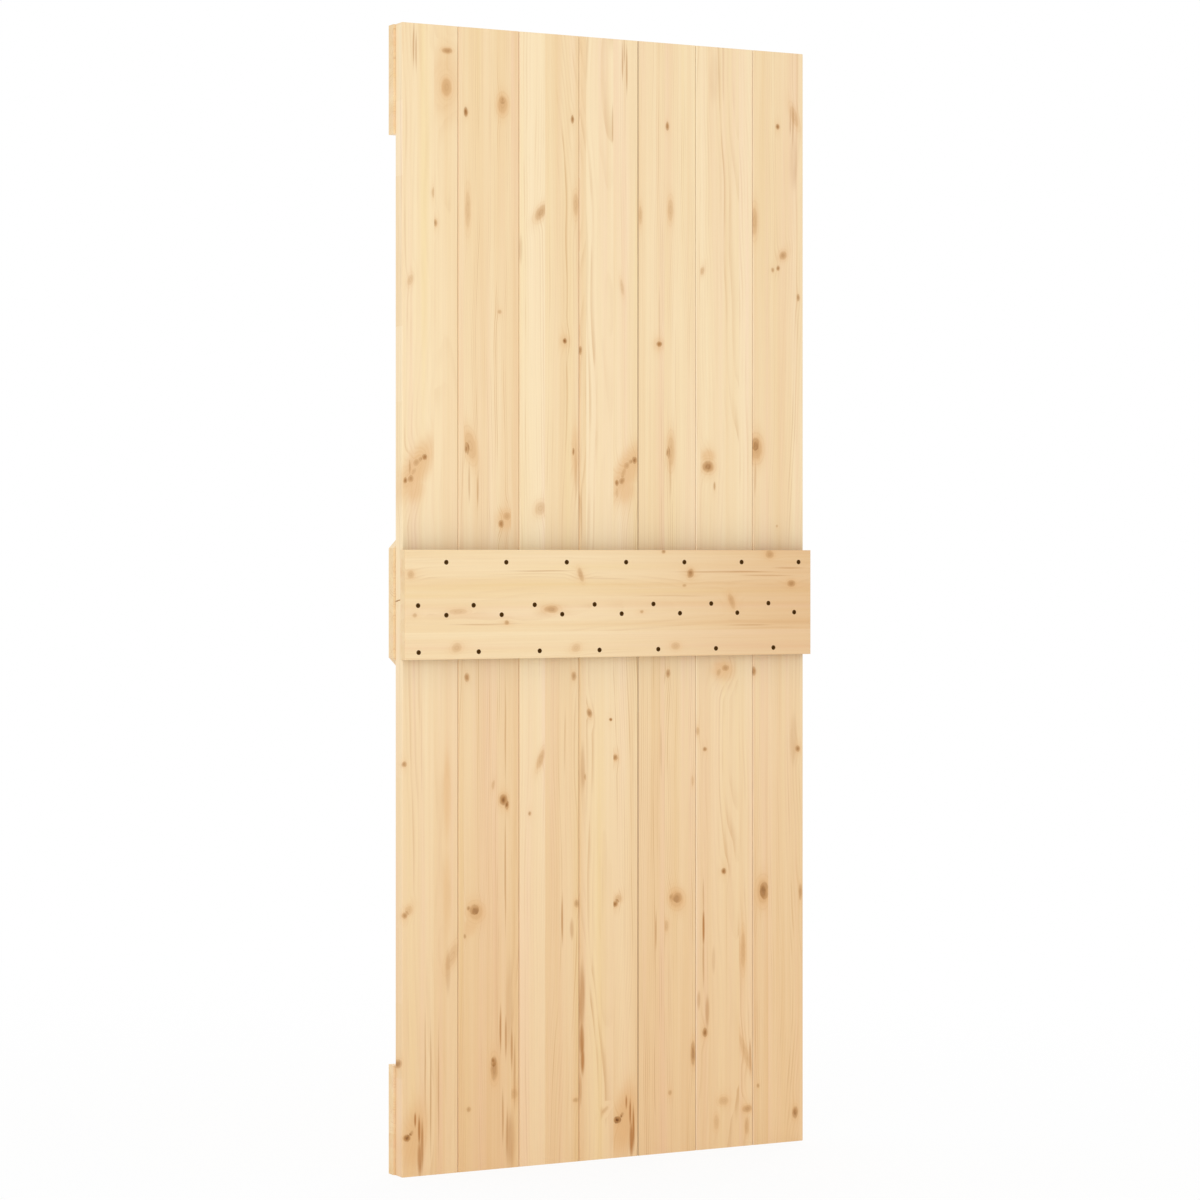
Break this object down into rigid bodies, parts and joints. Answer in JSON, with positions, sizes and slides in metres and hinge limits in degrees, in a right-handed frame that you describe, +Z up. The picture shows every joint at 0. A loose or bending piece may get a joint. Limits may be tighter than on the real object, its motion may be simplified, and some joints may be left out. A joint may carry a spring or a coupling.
{
  "type": "timber sliding door leaf",
  "caption": "Tall solid timber leaf for a sliding door: upright tongue-and-groove boards held by screwed cross rails, with diagonal braces on the wall side.",
  "frame": {"origin": "centre of the top rail's outer face, on the side that hangs against the wall", "axes": "+Z up along the boards, +Y out of the wall side's rails, +X across the leaf; the side with the single middle rail faces -Y"},
  "size_m": [0.858, 0.074, 2.1],
  "materials": {
    "board_timber": "planed, clear satin",
    "rail_timber": "planed, clear satin"
  },
  "bodies": {
    "root": {"board_1": "board_timber", "board_2": "board_timber", "board_3": "board_timber", "board_4": "board_timber", "board_5": "board_timber", "board_6": "board_timber", "board_7": "board_timber", "top_rail": "rail_timber", "middle_rail": "rail_timber", "bottom_rail": "rail_timber", "upper_brace": "rail_timber", "lower_brace": "rail_timber", "back_rail": "rail_timber"}
  },
  "joints": []
}
